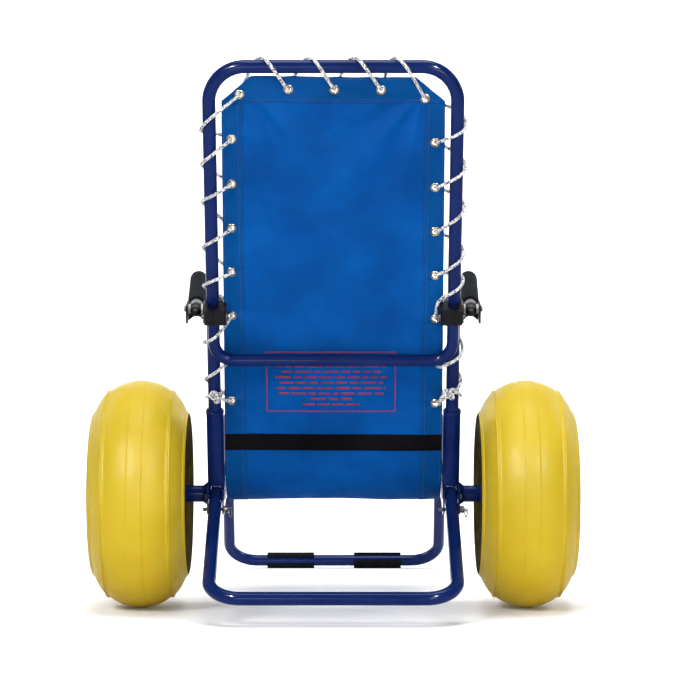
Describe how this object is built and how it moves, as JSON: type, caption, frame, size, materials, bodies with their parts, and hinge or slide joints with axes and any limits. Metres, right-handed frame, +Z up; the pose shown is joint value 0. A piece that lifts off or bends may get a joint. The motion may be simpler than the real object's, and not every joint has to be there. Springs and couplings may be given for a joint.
{
  "type": "beach cart chair",
  "caption": "Reclined sling chair on balloon wheels with folding armrests, a fold-up seat and leg frame and a fold-up rear stand.",
  "frame": {"origin": "centre of the footprint box, on the floor", "axes": "+X to the side, across the seat; +Y to the front, where the leg frame points; +Z up"},
  "size_m": [1.0422, 1.392, 1.1546],
  "materials": {
    "blue_paint": "gloss",
    "grey_tube": "satin",
    "zinc_steel": "satin",
    "nickel_eyelet": "gloss",
    "black_plastic": "matte",
    "grey_nylon": "matte",
    "olive_plastic": "matte",
    "yellow_tyre": "satin",
    "black_rubber": "matte",
    "black_foam": "matte",
    "blue_fabric": "matte",
    "black_webbing": "matte",
    "white_rope": "matte"
  },
  "bodies": {
    "chassis": {"back_frame": "blue_paint", "lift_bar": "blue_paint", "sleeve_left": "blue_paint", "sleeve_right": "blue_paint", "sleeve_rings": "black_plastic", "sleeve_bolts": "zinc_steel", "side_plates_left": "blue_paint", "side_plates_right": "blue_paint", "axle_stub_left": "blue_paint", "axle_stub_right": "blue_paint", "stand_pivot_bolts": "zinc_steel", "seat_pivot_bolts": "zinc_steel", "seat_stop_bolts": "zinc_steel", "clamp_half_left": "black_plastic", "clamp_half_right": "black_plastic", "armrest_bracket_left": "black_plastic", "armrest_bracket_right": "black_plastic", "clamp_bolts": "zinc_steel", "clamp_nuts": "zinc_steel", "armrest_pivot_bolts": "zinc_steel", "axle_left": "zinc_steel", "axle_right": "zinc_steel", "axle_set_screws": "zinc_steel", "axle_washers": "zinc_steel", "axle_retaining_rings": "zinc_steel", "axle_caps": "black_plastic", "back_sling": "blue_fabric", "webbing_band": "black_webbing", "eyelets": "nickel_eyelet", "lacing_rope": "white_rope", "rope_knots": "white_rope"},
    "wheel_left": {"tyre_left": "yellow_tyre", "hub_left": "olive_plastic", "hub_bushes_left": "grey_nylon", "tyre_valve_left": "black_rubber"},
    "wheel_right": {"tyre_right": "yellow_tyre", "hub_right": "olive_plastic", "hub_bushes_right": "grey_nylon", "tyre_valve_right": "black_rubber"},
    "armrest_left": {"armrest_tube_left": "grey_tube", "armrest_grip_left": "black_foam", "armrest_knuckle_left": "black_plastic", "armrest_bushes_left": "grey_nylon"},
    "armrest_right": {"armrest_tube_right": "grey_tube", "armrest_grip_right": "black_foam", "armrest_knuckle_right": "black_plastic", "armrest_bushes_right": "grey_nylon"},
    "leg_frame": {"front_frame": "blue_paint", "knee_bar": "blue_paint", "seat_sling": "blue_fabric", "foot_pads": "black_rubber"},
    "stand": {"rear_stand": "blue_paint"},
    "pin_left": {"lock_pin_left": "zinc_steel", "lock_ring_left": "zinc_steel"},
    "pin_right": {"lock_pin_right": "zinc_steel", "lock_ring_right": "zinc_steel"}
  },
  "joints": [
    {"name": "wheel_left_spin", "type": "hinge", "parent": "chassis", "child": "wheel_left", "pos_m": [-0.416, -0.289, 0.245], "axis": [1, 0, 0], "continuous": true},
    {"name": "wheel_right_spin", "type": "hinge", "parent": "chassis", "child": "wheel_right", "pos_m": [0.416, -0.289, 0.245], "axis": [1, 0, 0], "continuous": true},
    {"name": "armrest_left_fold", "type": "hinge", "parent": "chassis", "child": "armrest_left", "pos_m": [-0.29, -0.4369, 0.64404], "axis": [1, 0, 0], "range_deg": [0, 90]},
    {"name": "armrest_right_fold", "type": "hinge", "parent": "chassis", "child": "armrest_right", "pos_m": [0.29, -0.4369, 0.64404], "axis": [1, 0, 0], "range_deg": [0, 90]},
    {"name": "leg_frame_fold", "type": "hinge", "parent": "chassis", "child": "leg_frame", "pos_m": [0, -0.244, 0.25], "axis": [1, 0, 0], "range_deg": [0, 80]},
    {"name": "stand_fold", "type": "hinge", "parent": "chassis", "child": "stand", "pos_m": [0, -0.32293, 0.2391], "axis": [-1, 0, 0], "range_deg": [0, 83]},
    {"name": "pin_left_pull", "type": "slide", "parent": "chassis", "child": "pin_left", "axis": [1, 0, 0], "range_m": [0, 0.042]},
    {"name": "pin_right_pull", "type": "slide", "parent": "chassis", "child": "pin_right", "axis": [1, 0, 0], "range_m": [0, 0.042]}
  ]
}
